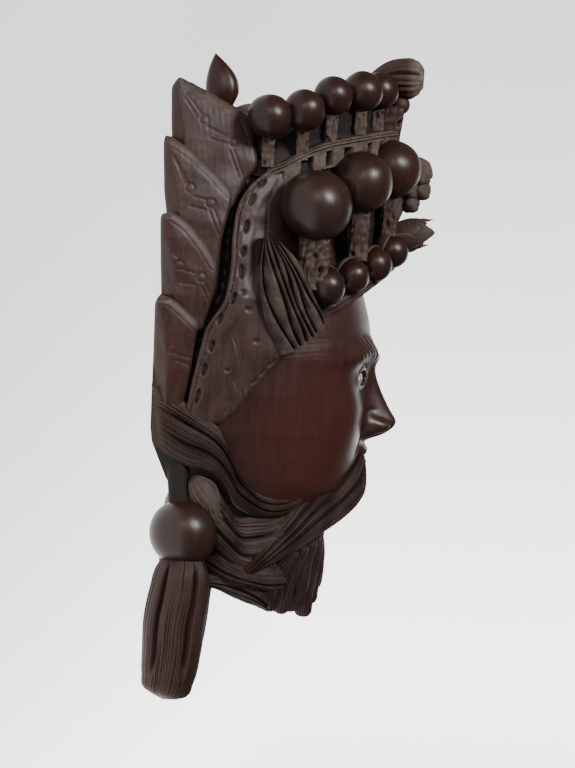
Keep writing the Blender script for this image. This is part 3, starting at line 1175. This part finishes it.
def carve_lids(material):
    form = Form()
    for side in SIDES:
        for upper in (True, False):
            x = np.linspace(-1, 1, 60)
            lift = (EYE_OPENING / 2 + 0.25) * np.clip(1 - x * x, 0, 1) ** 0.72
            up = EYE[1] + (lift if upper else -LOWER_LID * lift)
            across = side * (EYE[0] + x * (EYE_WIDTH / 2 + 0.4))
            out = EYE[2] + 1.0 + 1.5 * (1 - x * x) - math.sin(EYE_TURN) * x * EYE_WIDTH / 2
            path = np.stack([across, up, out], 1)
            size = 0.45 + (0.85 if upper else 0.55) * (1 - x * x) ** 0.5
            form.add_rings(tube_rings(path, 16, np.stack([size, size], 1)), 0.0)
    turn_out(form)
    return make_piece("eyelids", form, material)


# Materials


class Graph:
    """Nodes of a new material, with short ways to add and link them."""

    def __init__(self, name):
        self.material = bpy.data.materials.new(name)
        self.material.use_nodes = True
        self.nodes = self.material.node_tree.nodes
        self.shader = self.nodes["Principled BSDF"]
        self.place = self.add("TexCoord", "Object", {})

    def put(self, socket, value):
        """Sets a socket to a constant, or links another node's output to it."""
        if isinstance(value, bpy.types.NodeSocket):
            self.material.node_tree.links.new(value, socket)
        else:
            socket.default_value = value

    def set_shader(self, **values):
        for name, value in values.items():
            self.put(self.shader.inputs[name.replace("_", " ")], value)

    def add(self, kind, output, values, **settings):
        node = self.nodes.new("ShaderNode" + kind)
        for name, value in settings.items():
            setattr(node, name, value)
        for name, value in values.items():
            self.put(node.inputs[name], value)
        return node.outputs[output]

    def attribute(self, label):
        return self.add("Attribute", "Fac", {}, attribute_name=label)

    def noise(self, scale, stretch, detail, rough):
        spread = self.add("Mapping", "Vector", {"Vector": self.place, "Scale": stretch})
        values = {"Vector": spread, "Scale": scale, "Detail": detail, "Roughness": rough}
        return self.add("TexNoise", "Fac", values)

    def ramp(self, source, low, high, start=0.0, end=1.0):
        limits = {"Value": source, "From Min": low, "From Max": high, "To Min": start, "To Max": end}
        return self.add("MapRange", "Result", limits)

    def maths(self, kind, a, b=0.0):
        return self.add("Math", "Value", {0: a, 1: b}, operation=kind)

    def mix(self, share, a, b, blend="MIX"):
        values = {"Factor": share, "A": a, "B": b}
        return self.add("Mix", "Result", values, data_type="RGBA", blend_type=blend)


def wood(name, dust_gain, roughness, shine, depth, grain_gain):
    """Dark red-brown hardwood: long fine grain, redder patches, dark cuts, rubbed edges and pale dust."""
    graph = Graph(name)
    ramp, maths, mix = graph.ramp, graph.maths, graph.mix
    cut, dust = graph.attribute("cut"), graph.attribute("dust")
    grain = graph.noise(55, (9, 0.55, 9), 5.0, 0.65)
    pores = graph.noise(160, (10, 0.5, 10), 2.0, 0.5)
    patches = graph.noise(17, (1, 0.5, 1), 2.0, 0.5)
    specks = graph.noise(420, (1, 1, 1), 3.0, 0.6)
    spread = 0.18 / grain_gain
    colour = mix(ramp(grain, 0.5 - spread, 0.5 + spread), WOOD_COLOURS["base"], WOOD_COLOURS["streaks"])
    colour = mix(ramp(patches, 0.46, 0.70, 0.0, 0.6), colour, WOOD_COLOURS["patches"])
    colour = mix(ramp(pores, 0.60, 0.72, 0.0, 0.6 * grain_gain), colour, WOOD_COLOURS["pores"])
    colour = mix(ramp(graph.attribute("edge"), 0.1, 1.0, 0.0, 0.45), colour, WOOD_COLOURS["edges"])
    colour = mix(ramp(cut, 0.05, 0.8, 0.0, 0.85), colour, WOOD_COLOURS["cuts"])
    dusty = maths("MULTIPLY", dust, ramp(specks, 0.30, 0.62, 0.35, 1.0))
    dusty = maths("MULTIPLY", dusty, dust_gain)
    dusty = maths("MULTIPLY", dusty, ramp(cut, 0.2, 1.0, 1.0, 0.25))
    colour = mix(dusty, colour, WOOD_COLOURS["dust"])
    colour = mix(1.0, colour, (depth, depth, depth, 1), "MULTIPLY")
    gloss = ramp(grain, 0.3, 0.7, roughness - 0.03, roughness + 0.06)
    gloss = maths("ADD", gloss, maths("MULTIPLY", dusty, 0.55))
    gloss = maths("ADD", gloss, maths("MULTIPLY", cut, 0.25))
    rough = maths("MULTIPLY", specks, maths("ADD", 0.12, maths("MULTIPLY", dusty, 1.2)))
    relief = maths("ADD", maths("MULTIPLY", grain, 0.7), rough)
    normal = graph.add("Bump", "Normal", {"Strength": 0.25, "Distance": 0.0003, "Height": relief})
    graph.set_shader(Base_Color=colour, Roughness=gloss, Specular_IOR_Level=shine, Normal=normal)
    return graph.material


def plain(name, colour, roughness, speck):
    """Polished inlay with a faint mottle."""
    graph = Graph(name)
    mottle = graph.add("TexNoise", "Fac", {"Vector": graph.place, "Scale": 300})
    colour = graph.mix(mottle, colour, tuple(c * speck for c in colour[:3]) + (1,))
    graph.set_shader(Base_Color=colour, Roughness=roughness)
    return graph.material


# Floor, light and camera


def camera_axes():
    back = Vector((-math.cos(CAMERA_RISE) * math.cos(CAMERA_SWING), math.sin(CAMERA_SWING),
                   math.sin(CAMERA_RISE) * math.cos(CAMERA_SWING)))
    upright = (Vector((0, 1, 0)) - back * back.y).normalized()
    right = upright.cross(back)
    up = upright * math.cos(CAMERA_ROLL) - right * math.sin(CAMERA_ROLL)
    return right * math.cos(CAMERA_ROLL) + upright * math.sin(CAMERA_ROLL), up, back


def set_camera():
    right, up, back = camera_axes()
    data = bpy.data.cameras.new("camera")
    data.lens = CAMERA_LENS
    data.sensor_width = 36
    data.clip_end = 50
    camera = bpy.data.objects.new("camera", data)
    turn = Matrix((right, up, back)).transposed()
    camera.matrix_world = Matrix.Translation(Vector(CAMERA_TARGET) + back * CAMERA_DISTANCE) @ turn.to_4x4()
    bpy.context.scene.collection.objects.link(camera)
    bpy.context.scene.camera = camera


def area_light(name, place, aim, size, power):
    data = bpy.data.lights.new(name, "AREA")
    data.shape = "RECTANGLE"
    data.size, data.size_y = size
    data.energy = power
    light = bpy.data.objects.new(name, data)
    light.location = place
    light.rotation_euler = (Vector(aim) - Vector(place)).to_track_quat("-Z", "Y").to_euler()
    bpy.context.scene.collection.objects.link(light)


def floor_material():
    """Pale floor that glows a little more towards the foot of the picture, and less beside and before it."""
    graph = Graph("pale_floor")
    ramp, maths = graph.ramp, graph.maths
    x, y = (graph.add("SeparateXYZ", axis, {"Vector": graph.place}) for axis in "XY")
    away = maths("ADD", x, CAMERA_DISTANCE)
    slant = maths("DIVIDE", y, maths("MAXIMUM", away, 0.9))
    share = maths("POWER", ramp(slant, 0.087, -0.093), 2.0)
    glow = ramp(share, 0.0, 1.0, STAGE_GLOW[1], STAGE_GLOW[0])
    glow = maths("MULTIPLY", glow, ramp(maths("ABSOLUTE", slant), 0.115, 0.24, 1.0, 0.12))
    glow = maths("MULTIPLY", glow, ramp(away, 1.02, 0.86, 1.0, 0.05))
    graph.set_shader(Base_Color=(0.06, 0.06, 0.0595, 1), Roughness=1.0, Specular_IOR_Level=0.0,
                     Emission_Strength=glow, Emission_Color=(1.0, 1.0, 0.985, 1))
    return graph.material


def set_stage():
    """Pale floor that curves up into a wall behind the mask, and soft lights."""
    turns = np.linspace(0.1, math.pi / 2, 12)
    bend = [(-FLOOR_REACH, 0.0), (WALL_START, 0.0)]
    bend += [(WALL_START + WALL_BEND * math.sin(t), WALL_BEND * (1 - math.cos(t))) for t in turns]
    bend += [(WALL_START + WALL_BEND, FLOOR_REACH)]
    points = [(x, y, z - 0.0002) for y in (-FLOOR_REACH, FLOOR_REACH) for x, z in bend]
    count = len(bend)
    faces = [(i, i + 1, count + i + 1, count + i) for i in range(count - 1)]
    mesh = bpy.data.meshes.new("studio_floor")
    mesh.from_pydata(points, [], faces)
    mesh.shade_smooth()
    mesh.materials.append(floor_material())
    floor = bpy.data.objects.new("studio_floor", mesh)
    bpy.context.scene.collection.objects.link(floor)
    world = bpy.data.worlds.new("world")
    bpy.context.scene.world = world
    world.use_nodes = True
    background = world.node_tree.nodes["Background"]
    background.inputs["Color"].default_value = (0.80, 0.80, 0.80, 1)
    background.inputs["Strength"].default_value = 0.22
    for name, settings in LIGHTS.items():
        area_light(name, *settings)


def build():
    polished, face_wood, rubbed, hair_wood, cut_wood = (wood(name, *values) for name, values in WOODS.items())
    white = plain("inlay_white", (0.72, 0.70, 0.62, 1), 0.22, 0.9)
    pupil = plain("pupil_black", (0.012, 0.010, 0.010, 1), 0.2, 0.6)
    carve_head(face_wood)
    carve_crown(cut_wood)
    carve_tiara(cut_wood)
    for side in SIDES:
        carve_leaves(side, rubbed)
        carve_flap(side, rubbed)
        carve_beads(side, polished, cut_wood)
        carve_hair(side, hair_wood)
        carve_temple_tuft(side, hair_wood)
        carve_pendant(side, hair_wood, polished)
        carve_eye(side, white, pupil)
    carve_lids(face_wood)
    carve_chin_tuft(hair_wood)
    carve_plume(cut_wood)
    carve_finial(polished)
    carve_blossom(cut_wood)
    set_stage()
    set_camera()


build()
